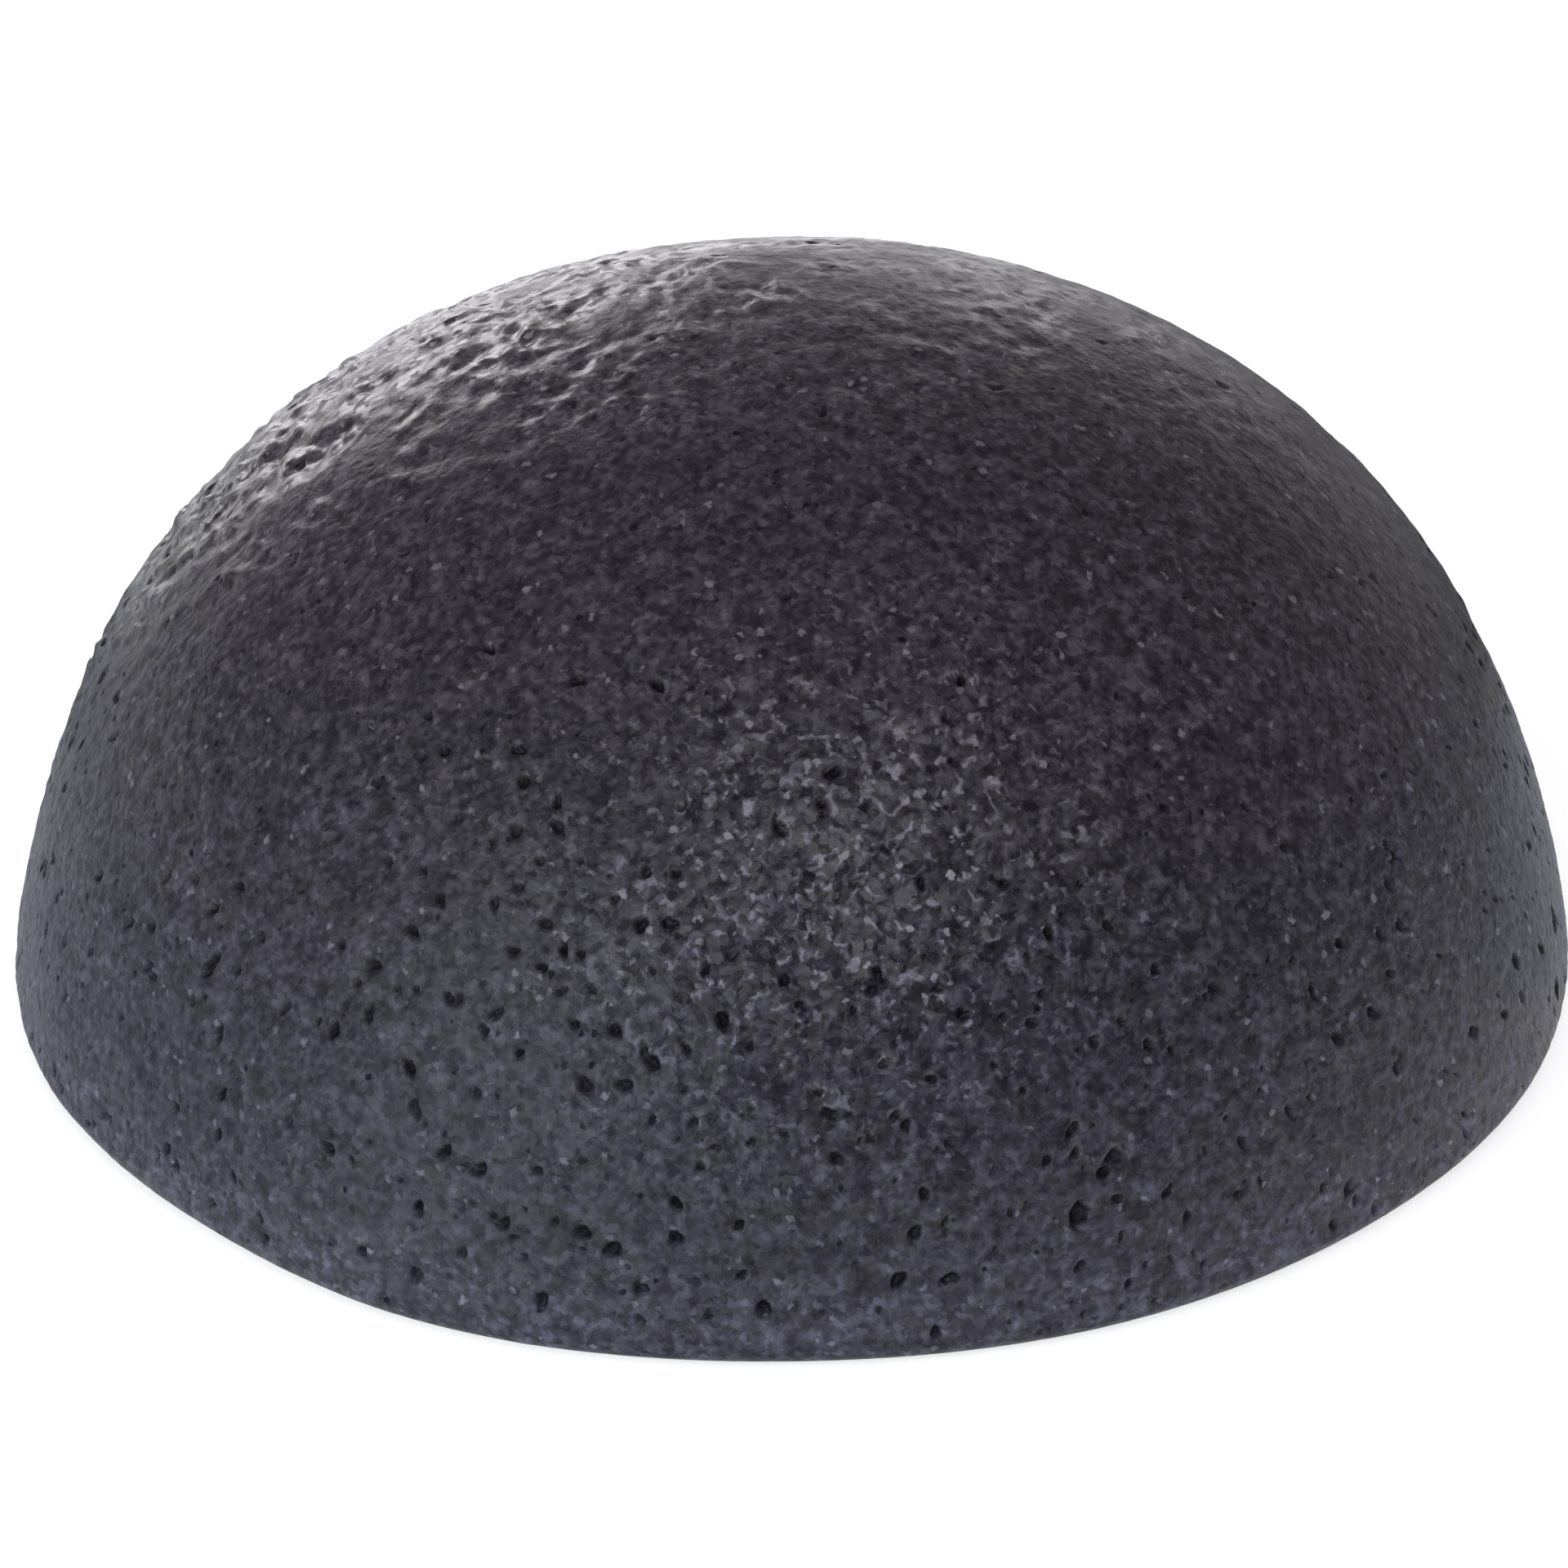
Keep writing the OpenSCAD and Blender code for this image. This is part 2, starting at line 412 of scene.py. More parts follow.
def pits(points, normals, places, centres, radii, seed):
    """Depth in metres and darkness 0 to 1 at each grid point; the darkness is painted shade in the pit.
    A pit is D (1 - q^2)^0.6 deep, where q is the distance over the radius, in an oval turned at random
    and wavering with the angle."""
    rng = np.random.default_rng(seed)
    side = points.shape[0]
    depth = np.zeros((side, side))
    dark = np.zeros((side, side))
    finest = 2 * np.pi * rim_half / (4 * (side - 1))
    reach = int(PIT_REACH * radii.max() / finest) + 1
    row, column, rows, columns = windows(places, side, reach)
    away = points[rows, columns] - centres[:, None, None, :]
    up = normals[row, column]
    one = np.cross(up, rng.normal(size=up.shape))
    one /= np.linalg.norm(one, axis=1, keepdims=True)
    two = np.cross(up, one)
    long_side = radii * rng.uniform(*PIT_LONG, len(radii))
    short_side = radii * rng.uniform(*PIT_SHORT, len(radii))
    u = np.einsum("nijk,nk->nij", away, one) / long_side[:, None, None]
    v = np.einsum("nijk,nk->nij", away, two) / short_side[:, None, None]
    start = rng.uniform(0, 2 * np.pi, (2, len(radii), 1, 1))
    turn = np.arctan2(v, u)
    waver = 1 + 0.14 * np.cos(2 * turn + start[0]) + 0.10 * np.cos(3 * turn + start[1])
    q = np.hypot(u, v) / waver
    near = np.linalg.norm(away, axis=3) < PIT_LIMIT * radii[:, None, None]
    deep = (radii * rng.uniform(*PIT_DEEP, len(radii)))[:, None, None]
    pit = np.where(near, deep * np.clip(1 - q**2, 0, 1) ** PIT_WALL_POWER, 0)
    # Small pores look fainter, and the shade reaches a little past the edge
    faint = np.clip(radii / radii.mean(), 0.5, 1) * rng.uniform(0.55, 1.0, len(radii))
    shade = np.where(near, 1 - ramp(q, 0.45, 1.15), 0) * faint[:, None, None]
    np.maximum.at(depth, (rows, columns), pit)
    np.maximum.at(dark, (rows, columns), shade)
    return depth, dark


deepest = PIT_DEEP[1] * wide_radii.max()
print(f"the widest pore is {2 * wide_radii.max() / MM:.2f} mm wide and at most {deepest / MM:.2f} deep")

# %% [markdown]
# ## Where the skin is folded
# The skin has shrunk into folds over the far side of the dome, most of all at the left, and water
# gathers in them. Masks could be painted for this. Formulas are used instead, because they fit any
# mesh: ramps across the dome, with noise that makes their borders waver and the folds uneven.

# %% Zones of wet and folded skin
FOLDS_WAY = (-0.03, 0.91, 0.42)


def fold_zones(points):
    """How far each point lies towards the folded side, in metres; how wet and how folded it is, 0 to
    1; and how strong its folds are. The zones are ramps of that distance times ramps of height. The
    strength is a sum of ramps from side to side times noise: most at the left, least at the right."""
    towards = points @ np.array(FOLDS_WAY) + 3.0 * MM * smooth_noise(points, 7 * MM, 35)
    wet = ramp(towards, 3 * MM, 17 * MM) * ramp(points[:, 2], 9 * MM, 22 * MM)
    folded = ramp(towards, 1 * MM, 15 * MM) * ramp(points[:, 2], 3 * MM, 13 * MM)
    strong = 0.5 + 0.5 * ramp(-points[:, 0], -2 * MM, 14 * MM)
    strong -= 0.18 * ramp(points[:, 0], 10 * MM, 26 * MM)
    strong += 0.25 * ramp(-points[:, 0], 20 * MM, 33 * MM)
    strong *= np.clip(0.9 + 0.9 * smooth_noise(points, 4 * MM, 34), 0.3, 1.4)
    return towards, wet, folded, strong


trial_row = on_dome(np.linspace(400, 1500, 400), np.full(400, 500.0))
_, trial_wet, trial_folded, _ = fold_zones(trial_row)
print(f"of a row high on the dome {trial_wet.mean():.0%} is wet and {trial_folded.mean():.0%} folded")

# %% [markdown]
# ## The folds themselves
# Up close the folds are not one pattern: soft creases that climb to the right, finer ones, and
# dimples between them. So three layers of noise are added up. The creases are stretched along their
# own axis. The finer ones and the dimples are stretched from back to front, because that side is
# seen at a glancing angle, which shortens them again in the picture. Shifting the points by other
# noise first keeps the creases from running straight. A bump map could fake all this from the front,
# but not along the outline.

# %% Heights of the folds
FOLD_AXIS = (0.60, -0.43, 0.66)
DIMPLE_AXIS = (0.0, -0.86, 0.51)
# The mean height of the three layers, taken off so that the folds go in as much as out
FOLDS_MEAN = 0.14


def skin_folds(points, warp, towards):
    """Heights in mm: stretched folded noise 2.6 and 1.5 mm wide and stretched smooth noise 1.2 mm
    wide, less their mean, and up to 35% calmer on the far side."""
    moved = points + 1.0 * MM * warp
    folds = 0.13 * folded_noise(stretched(moved, FOLD_AXIS, 1.5), 2.6 * MM, 41)
    folds += 0.07 * folded_noise(stretched(moved, DIMPLE_AXIS, 1.5), 1.5 * MM, 42)
    half_moved = points + 0.5 * MM * warp
    folds += 0.19 * smooth_noise(stretched(half_moved, DIMPLE_AXIS, 1.6), 1.2 * MM, 44)
    folds -= FOLDS_MEAN
    folds *= 1 - 0.35 * ramp(towards, 20 * MM, 32 * MM)
    return folds


trial_folds = skin_folds(trial_row, np.zeros((400, 3)), np.zeros(400))
print(f"folds along that row, before any shift: {trial_folds.min():.2f} to {trial_folds.max():.2f} mm")

# %% [markdown]
# ## The whole relief
# Three more forms join the folds: soft lumps a few millimetres wide, mostly at the left; a crumpled
# patch in the middle of the front; and the grain of the gel everywhere. All are real displacement
# of the mesh, so they catch light, cast shade and show in the outline. The mesh also keeps how wet
# and crumpled each point is and how far it stands out, because the material needs to know. From how
# far it stands out the material paints crests lighter and hollows darker, as painted light and shade.

# %% Heights over the smooth dome
PATCH_PX = (1040, 1070)
PATCH_R = 15 * MM


def dome_relief(points):
    """Height in metres over the smooth dome; how wet and folded each point is and how much it lies
    in the crumpled patch, 0 to 1; and how far it stands out from its surroundings, about 0 to 1."""
    towards, wet, folded, strong = fold_zones(points)
    warp = np.stack([smooth_noise(points, 4 * MM, s) for s in (31, 32, 33)], axis=1)
    lumps = 0.10 * smooth_noise(points, 9 * MM, 21) + 0.07 * smooth_noise(points, 4 * MM, 22)
    lumps *= 0.4 + 0.6 * ramp(-points[:, 0], -10 * MM, 8 * MM)
    patch_middle = on_dome([PATCH_PX[0]], [PATCH_PX[1]])[0]
    patch_here = spot(points, patch_middle, PATCH_R)
    patch = 0.08 * folded_noise(points + 0.5 * MM * warp, 1.9 * MM, 51)
    patch += 0.05 * smooth_noise(points, 0.7 * MM, 52)
    grain = 0.025 * smooth_noise(points, 0.95 * MM, 61) + 0.030 * smooth_noise(points, 0.50 * MM, 62)
    # Painted light and shade: crests are painted lighter and hollows darker by this number
    crest_shade = 0.5 + 8.0 * grain + patch_here * (1.8 * patch - 0.14)
    folds = skin_folds(points, warp, towards)
    height = lumps + (0.10 + 0.90 * folded) * strong * folds + patch_here * patch
    height += grain * (1 - 0.5 * folded)
    return height * MM, wet * np.clip(strong, 0, 1), patch_here, crest_shade


trial_height = dome_relief(trial_row)[0] / MM
print(f"the whole relief along that row: {trial_height.min():.2f} to {trial_height.max():.2f} mm")

# %% [markdown]
# ## Mesh making
# Each layer is a closed shell: a fine surface that shows, and a coarse one that closes it inside.
# A Solidify modifier would copy the fine surface inwards and double its size for nothing. So the two
# are made apart and sewn together along their border, where one coarse edge meets a fixed number of
# fine ones.

# %% Faces and border of a grid
def grid_faces(steps, flip=False):
    """The corners of every cell of a (steps + 1)^2 grid, anticlockwise seen from outside."""
    number = np.arange((steps + 1) ** 2).reshape(steps + 1, steps + 1)
    corners = (number[:-1, :-1], number[1:, :-1], number[1:, 1:], number[:-1, 1:])
    faces = np.stack([c.ravel() for c in corners], axis=1)
    return faces[:, ::-1] if flip else faces


def border(steps):
    """The numbers of the grid points along its edge, once round anticlockwise."""
    number = np.arange((steps + 1) ** 2).reshape(steps + 1, steps + 1)
    return np.concatenate([number[:-1, 0], number[-1, :-1], number[:0:-1, -1], number[0, :0:-1]])


print("faces of a grid of 2 by 2 cells:", grid_faces(2).tolist(), "and its border:", border(2).tolist())


# %% Sew a fine border to a coarse one
def sewn(fine, coarse):
    """Triangles between a fine border and a coarse one. Each fine edge goes to its nearest coarse
    point, and each coarse edge to the fine point in its middle."""
    many = len(fine) // len(coarse)
    each = np.arange(len(fine))
    nearest = ((each + many // 2 + 1) // many) % len(coarse)
    first = np.stack([fine, coarse[nearest], np.roll(fine, -1)], axis=1)
    edge = np.arange(len(coarse))
    middle = fine[edge * many + many - many // 2 - 1]
    second = np.stack([middle, coarse, np.roll(coarse, -1)], axis=1)
    return np.concatenate([first, second])


trial_seam = sewn(border(2), np.arange(9, 13))
print("8 fine edges and 4 coarse ones are sewn with", len(trial_seam), "triangles")

# %% [markdown]
# Whole arrays go into the mesh at once, because adding vertices one by one would take minutes. Every
# corner also gets a place on a flat map, so that the finish can be baked into pictures later. And
# every vertex carries a few numbers that the material reads.

# %% From arrays to a mesh
def new_mesh(name, points, quads, triangles, places):
    """A mesh from whole arrays: points, faces of four and three corners, and a flat map."""
    mesh = bpy.data.meshes.new(name)
    corners = np.concatenate([quads.ravel(), triangles.ravel()]).astype(np.int32)
    sizes = np.concatenate([np.full(len(quads), 4), np.full(len(triangles), 3)])
    starts = np.concatenate([[0], np.cumsum(sizes)[:-1]]).astype(np.int32)
    mesh.vertices.add(len(points))
    mesh.vertices.foreach_set("co", points.astype(np.float32).ravel())
    mesh.loops.add(len(corners))
    mesh.loops.foreach_set("vertex_index", corners)
    mesh.polygons.add(len(sizes))
    mesh.polygons.foreach_set("loop_start", starts)
    mesh.update(calc_edges=True)
    mesh.shade_smooth()
    flat_map = mesh.uv_layers.new(name="OFBake")
    flat_map.uv.foreach_set("vector", places[corners].astype(np.float32).ravel())
    piece = bpy.data.objects.new(name, mesh)
    bpy.context.scene.collection.objects.link(piece)
    print(f"{name}: {len(points)} points, {len(quads) * 2 + len(triangles)} triangles")
    return piece


# The crest number carries painted light and shade of the relief, and pore carries painted shade in the
# pits
PLAIN = {"pore": 0.0, "folds": 0.0, "patch": 0.0, "crest_shade": 0.5}


def add_attributes(piece, values, plain_count):
    """Numbers for each vertex, which a material can read by name. The shown surface has its own
    values and comes first; the plain_count points after it are plain gel."""
    shown = len(piece.data.vertices) - plain_count
    for name, plain in PLAIN.items():
        layer = piece.data.attributes.new(name, "FLOAT", "POINT")
        every = np.full(len(piece.data.vertices), plain, np.float32)
        every[:shown] = values.get(name, plain)
        layer.data.foreach_set("value", every)


def flat_places(steps, low, size):
    """Where a grid's points go on the flat map: a square of that size with its corner at low."""
    line = np.linspace(0, size, steps + 1)
    u, v = np.meshgrid(line + low[0], line + low[1], indexing="ij")
    return np.stack([u.ravel(), v.ravel()], axis=1)


# Corner and size on the flat map: nearly all of it for the side that shows, the rest for the other
SHOWN_PLACE, CLOSING_PLACE = ((0.0, 0.0), 0.93), ((0.94, 0.94), 0.05)
print("the numbers at each vertex of plain gel:", PLAIN)

# %% [markdown]
# ## The dome's skin
# The surface that the photograph shows: the disc carried along the profile, raised by the relief and
# pressed in at the pores. The relief fades out round the rim and under it, where the gel lay on the
# tray and the two skins meet. The cells are 0.17 mm wide, just under the photograph's detail.

# %% Make the dome's skin
DOME_STEPS = 700
WALL_STEPS = DOME_STEPS // 10
SEAM_GAP = 0.2 * MM
# The relief has faded out at this share of the way round the rim
FADE_SHARE = 0.85


def dome_surface(steps):
    """Points of the dressed dome on a grid, and what its material reads at each of them."""
    share, angle = disc_grid(steps)
    run = share * whole_run
    r, z, nr, nz = profile(run)
    around = np.stack([np.cos(angle), np.sin(angle)], axis=-1)
    points = np.concatenate([r[..., None] * around, z[..., None]], axis=-1)
    normals = np.concatenate([nr[..., None] * around, nz[..., None]], axis=-1)
    flat = points.reshape(-1, 3)
    height, folds, patch, crest_shade = dome_relief(flat)
    depth, dark = np.zeros_like(run), np.zeros_like(run)
    for centres, radii, seed in ((pore_points, pore_radii, 7), (wide_points, wide_radii, 8)):
        polar = np.arctan2(np.hypot(centres[:, 0], centres[:, 1]), centres[:, 2] + ball_drop)
        turn = np.arctan2(centres[:, 1], centres[:, 0])
        places = square_place(ball_r * polar / whole_run, turn)
        pit, shade = pits(points, normals, places, centres, radii, seed)
        depth, dark = np.maximum(depth, pit), np.maximum(dark, shade)
    fade = 1 - ramp(run, ball_run, ball_run + FADE_SHARE * rim_run)
    height = (height.reshape(fade.shape) - depth) * fade
    points = swollen((points + normals * height[..., None]).reshape(-1, 3))
    points[:, 2] = np.maximum(points[:, 2], 0)
    return points, {"pore": (dark * fade).ravel(), "folds": folds, "patch": patch, "crest_shade": crest_shade}


def core_ball(steps, low_z, radius):
    """Points of the core's ball on a grid, from its top down to a height."""
    share, angle = disc_grid(steps)
    polar = share * math.acos((low_z + ball_drop) / radius)
    r = radius * np.sin(polar)
    z = radius * np.cos(polar) - ball_drop
    return swollen(np.stack([r * np.cos(angle), r * np.sin(angle), z], axis=-1).reshape(-1, 3))


outer, outer_values = dome_surface(DOME_STEPS)
wall = core_ball(WALL_STEPS, SEAM_GAP, core_r)
quads = np.concatenate([grid_faces(DOME_STEPS), grid_faces(WALL_STEPS, flip=True) + len(outer)])
seam = sewn(border(DOME_STEPS), border(WALL_STEPS) + len(outer))
places = np.concatenate([flat_places(DOME_STEPS, *SHOWN_PLACE), flat_places(WALL_STEPS, *CLOSING_PLACE)])
dome_skin = new_mesh("moulded_dome_skin", np.concatenate([outer, wall]), quads, seam, places)
add_attributes(dome_skin, outer_values, len(wall))

# %% [markdown]
# ## The flat face's skin
# The face is hidden in the photograph, so this is a guess. The gel was poured and levelled there, so
# it is flat, with the same grain and more open pores. It rests on the floor, so its relief only
# goes inwards. The same disc and pits serve it, which a plain circle of faces could not.

# %% Make the flat face's skin
BASE_STEPS = 400
BASE_PORES = 420
BASE_PORE_SMALL, BASE_PORE_MORE = 0.13 * MM, 0.42 * MM
GRAIN_MEAN = 0.04


def base_surface(steps):
    """Points of the flat face on a grid and its darkness; every height is upwards, into the gel."""
    share, angle = disc_grid(steps)
    r = share * seam_r
    points = np.stack([r * np.cos(angle), r * np.sin(angle), np.zeros_like(r)], axis=-1)
    normals = np.broadcast_to(np.array((0.0, 0.0, -1.0)), points.shape)
    flat = points.reshape(-1, 3)
    dish = 0.10 + 0.10 * smooth_noise(flat, 9 * MM, 71)
    grain = GRAIN_MEAN + 0.04 * smooth_noise(flat, 0.8 * MM, 72)
    grain += 0.02 * smooth_noise(flat, 0.42 * MM, 73)
    rng = np.random.default_rng(8)
    far = np.sqrt(rng.uniform(0, 0.96, BASE_PORES))
    turn = rng.uniform(-np.pi, np.pi, BASE_PORES)
    centres = np.stack([far * seam_r * np.cos(turn), far * seam_r * np.sin(turn), 0 * far], axis=1)
    radii = BASE_PORE_SMALL + BASE_PORE_MORE * rng.uniform(0, 1, BASE_PORES) ** PORE_SIZE_POWER
    depth, dark = pits(points, normals, square_place(far, turn), centres, radii, 9)
    fade = 1 - ramp(share, 0.94, 1.0)
    height = np.maximum((dish + grain).reshape(fade.shape) * MM, 0) + depth
    points[..., 2] = height * fade
    # Deeper grain is painted darker: painted shade in the hollows of the flat face
    crest_shade = 0.5 - 6.0 * (grain - GRAIN_MEAN)
    return swollen(points.reshape(-1, 3)), {"pore": (dark * fade).ravel(), "crest_shade": crest_shade}


def base_top(steps):
    """Points of the face's skin where the core begins: a disc at the height of its thickness."""
    share, angle = disc_grid(steps)
    r = share * math.sqrt(core_r**2 - (base_skin_t + ball_drop) ** 2)
    z = np.full_like(r, base_skin_t)
    return swollen(np.stack([r * np.cos(angle), r * np.sin(angle), z], axis=-1).reshape(-1, 3))


under, under_values = base_surface(BASE_STEPS)
TOP_STEPS = BASE_STEPS // 10
top = base_top(TOP_STEPS)
quads = np.concatenate([grid_faces(BASE_STEPS, flip=True), grid_faces(TOP_STEPS) + len(under)])
seam = sewn(border(BASE_STEPS), border(TOP_STEPS) + len(under))[:, ::-1]
places = np.concatenate([flat_places(BASE_STEPS, *SHOWN_PLACE), flat_places(TOP_STEPS, *CLOSING_PLACE)])
base_skin = new_mesh("flat_face_skin", np.concatenate([under, top]), quads, seam, places)
add_attributes(base_skin, under_values, len(top))

# %% [markdown]
# ## The foam core
# The core never shows, but it would if the sponge were cut open. Real foam is full of holes, far too
# many to model for a piece that stays hidden, so it is a plain cut ball just inside the skins.

# %% Make the foam core
CORE_STEPS = 60
CORE_GAP = 0.05 * MM

core_top = core_ball(CORE_STEPS, base_skin_t + CORE_GAP, core_r - CORE_GAP)
core_under = base_top(CORE_STEPS)
core_under[:, :2] *= 1 - 2 * CORE_GAP / seam_r
core_under[:, 2] = base_skin_t + CORE_GAP / 2
quads = np.concatenate([grid_faces(CORE_STEPS), grid_faces(CORE_STEPS, flip=True) + len(core_top)])
seam = sewn(border(CORE_STEPS), border(CORE_STEPS) + len(core_top))
places = np.concatenate([flat_places(CORE_STEPS, (0.0, 0.0), 0.49),
                         flat_places(CORE_STEPS, (0.5, 0.5), 0.49)])
core = new_mesh("foam_core_body", np.concatenate([core_top, core_under]), quads, seam, places)
add_attributes(core, {}, len(core_top) + len(core_under))

# %% [markdown]
# ## The gel
# Charcoal powder in a damp gel: nearly black, a little violet, with a wet film over it. A picture
# wrapped round the dome would stretch and show its seams. So the finish is worked out by nodes that
# read the place on the object and the numbers at the vertices. It takes a fair number of nodes, and
# a few helpers keep their making short.

# %% Helpers for nodes
def node(tree, kind, **inputs):
    """A node with some of its input sockets set by name."""
    made = tree.nodes.new(kind)
    for name, value in inputs.items():
        made.inputs[name.replace("_", " ")].default_value = value
    return made


def math_node(tree, operation, first, second, clamp=False):
    """A Math node fed by sockets or plain numbers."""
    made = tree.nodes.new("ShaderNodeMath")
    made.operation = operation
    made.use_clamp = clamp
    for k, source in enumerate((first, second)):
        if isinstance(source, (int, float)):
            made.inputs[k].default_value = source
        else:
            tree.links.new(source, made.inputs[k])
    return made.outputs[0]


def map_node(tree, source, low, high, to_low, to_high, kind="SMOOTHSTEP"):
    """A Map Range node: from low..high to to_low..to_high, in a smooth step or a straight line."""
    made = tree.nodes.new("ShaderNodeMapRange")
    made.interpolation_type = kind
    tree.links.new(source, made.inputs["Value"])
    for name, value in (("From Min", low), ("From Max", high), ("To Min", to_low), ("To Max", to_high)):
        made.inputs[name].default_value = value
    return made.outputs["Result"]


def mix_colours(tree, share, first, second):
    """A colour mix whose ends are sockets or plain colours."""
    made = tree.nodes.new("ShaderNodeMix")
    made.data_type = "RGBA"
    tree.links.new(share, made.inputs["Factor"])
    for socket, source in ((made.inputs[6], first), (made.inputs[7], second)):
        if isinstance(source, tuple):
            socket.default_value = (*source, 1)
        else:
            tree.links.new(source, socket)
    return made.outputs[2]


def scaled(tree, source, factors):
    """A vector or a colour times three numbers or times another socket, one by one."""
    made = tree.nodes.new("ShaderNodeVectorMath")
    made.operation = "MULTIPLY"
    tree.links.new(source, made.inputs[0])
    if isinstance(factors, tuple):
        made.inputs[1].default_value = factors
    else:
        tree.links.new(factors, made.inputs[1])
    return made.outputs[0]


one_node = (node, math_node, map_node, mix_colours, scaled)
print("helpers for one node each:", [helper.__name__ for helper in one_node])

# %% [markdown]
# The next helpers make patterns. Noise gives soft clouds. A Voronoi pattern divides space into small
# cells, and each cell draws its own random colour, whose red, green and blue serve as three numbers.
# From these come single dots, and patches of even tone with borders between them.

# %% Helpers for patterns
def pattern(tree, place, size, detail=2.0, roughness=0.5):
    """A noise pattern with bumps of a size in metres, on Object coordinates."""
    made = node(tree, "ShaderNodeTexNoise", Scale=1 / size, Detail=detail, Roughness=roughness)
    tree.links.new(place, made.inputs["Vector"])
    return made.outputs["Fac"]


def attribute(tree, name):
    """A number that a mesh carries at its vertices."""
    made = tree.nodes.new("ShaderNodeAttribute")
    made.attribute_name = name
    return made.outputs["Fac"]


def shifted(tree, place, size, reach):
    """Coordinates shifted by noise of a size, up to a reach, so that round shapes become uneven."""
    noise = node(tree, "ShaderNodeTexNoise", Scale=1 / size, Detail=1)
    tree.links.new(place, noise.inputs["Vector"])
    made = tree.nodes.new("ShaderNodeVectorMath")
    made.operation = "MULTIPLY_ADD"
    tree.links.new(noise.outputs["Color"], made.inputs[0])
    made.inputs[1].default_value = (reach, reach, reach)
    tree.links.new(place, made.inputs[2])
    return made.outputs[0]


def cell_draw(tree, place, size):
    """For each cell of a Voronoi pattern its random numbers Red, Green and Blue, 0 to 1, and the
    distance from the cell's middle."""
    cells = node(tree, "ShaderNodeTexVoronoi", Scale=1 / size, Randomness=1)
    tree.links.new(place, cells.inputs["Vector"])
    drawn = tree.nodes.new("ShaderNodeSeparateColor")
    tree.links.new(cells.outputs["Color"], drawn.inputs["Color"])
    return drawn.outputs, cells.outputs["Distance"]


def specks(tree, place, spacing, waver, share, largest):
    """Dots scattered at random, 0 to 1. A cell draws whether it holds a dot, which a share of the
    cells do, how large the dot is and how strong. A dot is 1 where distance less size is low."""
    drawn, distance = cell_draw(tree, place, spacing)
    size = map_node(tree, drawn["Green"], 0, 1, 0.3 * largest, largest)
    edge = math_node(tree, "ADD", distance,
                     math_node(tree, "MULTIPLY", math_node(tree, "SUBTRACT", waver, 0.5), 0.9))
    dot = map_node(tree, math_node(tree, "SUBTRACT", edge, size), -0.16, 0.10, 1.0, 0.0)
    held = math_node(tree, "LESS_THAN", drawn["Red"], share)
    strength = math_node(tree, "POWER", map_node(tree, drawn["Blue"], 0, 1, 0.25, 1.0), 1.8)
    return math_node(tree, "MULTIPLY", math_node(tree, "MULTIPLY", dot, held), strength)


print("helpers for patterns:", [helper.__name__ for helper in (pattern, shifted, cell_draw, specks)])

# %% [markdown]
# ## What the gel's nodes read
# Everything in the finish follows from a few sockets: the place, the height and the way across; soft
# noise and small cells; and the mesh's own numbers. They are made once, so that colour, shine and
# bump agree with each other: a fleck is paler and shinier in the same spot.

# %% Sockets for the gel
def gel_sockets(tree):
    """The sockets that the colour, the film and the bump of the gel share. Wet is the larger of the
    wet folds and 0.8 of the crumpled patch."""
    place = tree.nodes.new("ShaderNodeTexCoord").outputs["Object"]
    parts = tree.nodes.new("ShaderNodeSeparateXYZ")
    tree.links.new(place, parts.inputs[0])
    ragged = shifted(tree, place, 0.25 * MM, 0.20 * MM)
    tones, _ = cell_draw(tree, ragged, 0.36 * MM)
    shines, _ = cell_draw(tree, ragged, 0.50 * MM)
    folds, patch = attribute(tree, "folds"), attribute(tree, "patch")
    return SimpleNamespace(
        place=place,
        across=parts.outputs["X"],
        height=parts.outputs["Z"],
        ragged=ragged,
        grain=pattern(tree, place, 0.42 * MM, detail=1),
        tone=pattern(tree, place, 1.0 * MM, detail=2, roughness=0.75),
        cell_tone=tones["Red"],
        cell_shine=shines["Green"],
        folds=folds,
        patch=patch,
        wet=math_node(tree, "MAXIMUM", folds, math_node(tree, "MULTIPLY", patch, 0.8)),
    )


print("numbers that the mesh gives to the finish:", list(PLAIN))

# %% [markdown]
# ## The colour of the gel
# The ground is dark gel with paler grains, as where powder and bubbles lie unevenly, and it is also
# painted lighter on the crests of the relief and darker in its hollows: painted light and shade.
# Several patterns are added up, and the sum is squared: that keeps most of it dark and lets a few
# grains stand out.
# One more pattern makes faint level streaks low on the dome, as the photograph shows them there.

# %% The ground colour
GEL_DARK = (0.0125, 0.0105, 0.0175)
GEL_LIGHT = (0.1800, 0.1710, 0.2120)


